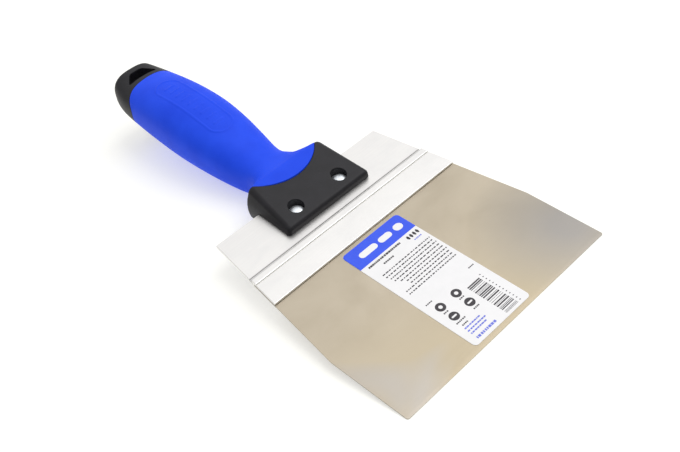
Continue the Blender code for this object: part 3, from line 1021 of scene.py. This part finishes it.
def round_cutter(x, y, radius, count, surface_at, floor):
    """Cutter for a round recess, from its floor out through a surface."""
    def outline_at(extra):
        return disc_outline(x, y, radius + extra, count)

    bottom = [(px, py, floor) for px, py in outline_at(0.0)]
    return loft("cutter", [bottom] + rim_rings(outline_at, surface_at, math.copysign(1, floor)))


def build_bolster():
    """Front block with bulging sides, rounded edges and the recess for the sleeve's tongue."""
    under = round_steps(UNDER_ROUND)
    rings = [bolster_ring(bolster_under, d, round_inset(d, UNDER_ROUND)) for d in under]
    rings += [bolster_ring(bolster_under, 0.0, 0.0, share) for share in (0.6, 0.2)]
    rings += [bolster_ring(bolster_top, 0.0, 0.0, share) for share in (0.15, 0.3, 0.45)]
    top = [bolster_ring(bolster_top, d, round_inset(d, TOP_ROUND)) for d in round_steps(TOP_ROUND)]
    block = loft("core_moulding", rings + top[::-1])
    cut(block, round_cutter(0, RECESS_CENTRE, RECESS_RADIUS, 180, over_bolster, RECESS_FLOOR))
    return block


def hole_outline(extra):
    """Trapezoid with rounded corners, wide side forward, grown by extra."""
    front_shade, rear = HOLE_FRONT - extra, HOLE_REAR + extra
    wide, narrow = HOLE_HALF_FRONT + extra, HOLE_HALF_REAR + extra
    right = [
        (wide - HOLE_CORNER, front_shade),
        (wide - 0.3 * HOLE_CORNER, front_shade + 0.3 * HOLE_CORNER),
        (wide, front_shade + HOLE_CORNER),
        (narrow + HOLE_CORNER, rear - HOLE_CORNER),
        (narrow, rear - 0.3 * HOLE_CORNER),
        (narrow - HOLE_CORNER, rear),
    ]
    return right + [(-x, y) for x, y in reversed(right)]


def handle_height(x, y, side):
    """Height of the handle's upper (side 1) or lower (side -1) surface over a point."""
    half, top, bottom, square = section_at(y)
    reach = max(0.0, 1 - (abs(x) / half) ** square) ** (1 / square)
    return (top - bottom) / 2 + side * (top + bottom) / 2 * reach


def tang_rings():
    """The part hidden in the sleeve, from inside the bolster to the butt."""
    rings = []
    for share in spread(0.0, 1.0, 0.05):
        y = TANG_FRONT + (REAR_EDGE + GAP - TANG_FRONT) * share
        rings.append(under_ceiling(offset_ring(y, WALL), TANG_TOP))
    return rings


def butt_rings():
    """Butt behind the sleeve, from its front rim to its rounded rear edge."""
    start = REAR_EDGE + SEAM
    rings = [offset_ring(start + d, round_inset(d, GRIP_ROUND)) for d in round_steps(GRIP_ROUND)]
    for share in spread(0.1, 0.88, 0.06):
        rings.append(offset_ring(start + (BUTT_END - start) * share, 0.0))
    for d in round_steps(BUTT_ROUND)[::-1]:
        rings.append(offset_ring(np.full(LINES, BUTT_END - d), round_inset(d, BUTT_ROUND)))
    return rings


def build_core():
    """Bolster, tang and butt as one moulding, with its slot, bores and hanging hole."""
    core = build_bolster()
    cut(core, loft("tang", tang_rings() + butt_rings()), "UNION")
    slot = box_outline(-BLADE_HALF, BLADE_HALF, BOLSTER_FRONT - OUTSIDE, HOLDER_REAR + GAP)
    slot_half = PLATE_TOP + GAP
    cut(core, loft("cutter", [[(x, y, z) for x, y in slot] for z in (-slot_half, slot_half)]))
    for x in (-RIVET_X, RIVET_X):
        bore = [(z, SHANK_R + GAP) for z in (-BORE_FLOOR - 1, BORE_FLOOR + 1)]
        cut(core, turned("cutter", x, RIVET_Y, bore))
        cut(core, round_cutter(x, RIVET_Y, BORE_R, 72, over_bolster, BORE_FLOOR))
        cut(core, round_cutter(x, RIVET_Y, BORE_R, 72, under_bolster, -BORE_FLOOR))
    hole = rim_rings(hole_outline, under_butt, -1)[::-1] + rim_rings(hole_outline, over_butt, 1)
    cut(core, loft("cutter", hole))
    return place(core, hard_plastic_material(), 35.0, weighted=True)


# ---------------------------------------------------------------- stage

def build_floor():
    """Plain pale light table under the tool, at the height of its lowest point."""
    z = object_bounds()[0].z
    square = box_outline(-FLOOR_HALF, FLOOR_HALF, -FLOOR_HALF, FLOOR_HALF)
    mesh = bpy.data.meshes.new("floor")
    mesh.from_pydata([(x, y, z) for x, y in square], [], [(0, 1, 2, 3)])
    floor = bpy.data.objects.new("floor", mesh)
    bpy.context.scene.collection.objects.link(floor)
    mat, _, shader = new_material("floor", roughness=0.9, specular=0.1)
    shader.inputs["Base Color"].default_value = (*FLOOR_TONE, 1.0)
    shader.inputs["Emission Color"].default_value = (1.0, 1.0, 1.0, 1.0)
    shader.inputs["Emission Strength"].default_value = FLOOR_GLOW
    mesh.materials.append(mat)


def area_light(name, at, target, size, power):
    light = bpy.data.lights.new(name, "AREA")
    light.size = size
    light.energy = power
    obj = bpy.data.objects.new(name, light)
    obj.location = at
    obj.rotation_euler = (Vector(target) - Vector(at)).to_track_quat("-Z", "Y").to_euler()
    bpy.context.scene.collection.objects.link(obj)


def build_light():
    """Soft studio sky, brightest above and behind on the right, with one large key light."""
    world = bpy.data.worlds.new("studio")
    world.use_nodes = True
    tree = world.node_tree
    direction = tree.nodes.new("ShaderNodeTexCoord")
    towards = tree.nodes.new("ShaderNodeVectorMath")
    towards.operation = "DOT_PRODUCT"
    towards.inputs[1].default_value = Vector(SKY_BRIGHT).normalized()
    tree.links.new(direction.outputs["Generated"], towards.inputs[0])
    cosine = towards.outputs["Value"]
    strength = remap(tree, cosine, SKY_LOW_AT, SKY_HIGH_AT, SKY_LOW, SKY_HIGH)
    tree.links.new(strength, tree.nodes["Background"].inputs["Strength"])
    tree.nodes["Background"].inputs["Color"].default_value = (1.0, 1.0, 1.0, 1.0)
    bpy.context.scene.world = world
    area_light("key", KEY_AT, (0, 0, 0), KEY_SIZE, KEY_POWER)
    bpy.context.scene.view_settings.view_transform = "Standard"


def build_camera():
    data = bpy.data.cameras.new("camera")
    data.lens = CAMERA_LENS
    data.sensor_width = CAMERA_SENSOR
    camera = bpy.data.objects.new("camera", data)
    camera.location = CAMERA_AT
    camera.rotation_euler = [math.radians(a) for a in CAMERA_TURN]
    bpy.context.scene.collection.objects.link(camera)
    bpy.context.scene.camera = camera


# ---------------------------------------------------------------- assembly

def fix(obj, node):
    """Ride on the handle and stand for a CAD node."""
    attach(obj, "handle")
    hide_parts(node)


def bend_with_blade(obj):
    """Moves the object's placement into its mesh and does not bend it; the sheet would leave the lips
    straight and turn more and more towards its front edge.
    """
    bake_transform(obj)


def build_all():
    blade = build_blade()
    bend_with_blade(blade)
    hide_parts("blade")
    layers = build_label()
    for obj in layers:
        bend_with_blade(obj)
    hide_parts("label")
    fix(build_holder(), "blade_holder")
    fix(build_core(), "handle_core")
    fix(build_sleeve(), "grip_sleeve")
    rivet = rivet_material()
    fix(build_rivet("rivet_head_left", -RIVET_X, rivet), "rivet_left")
    fix(build_rivet("rivet_head_right", RIVET_X, rivet), "rivet_right")


build_camera()
build_light()
build_all()
build_floor()
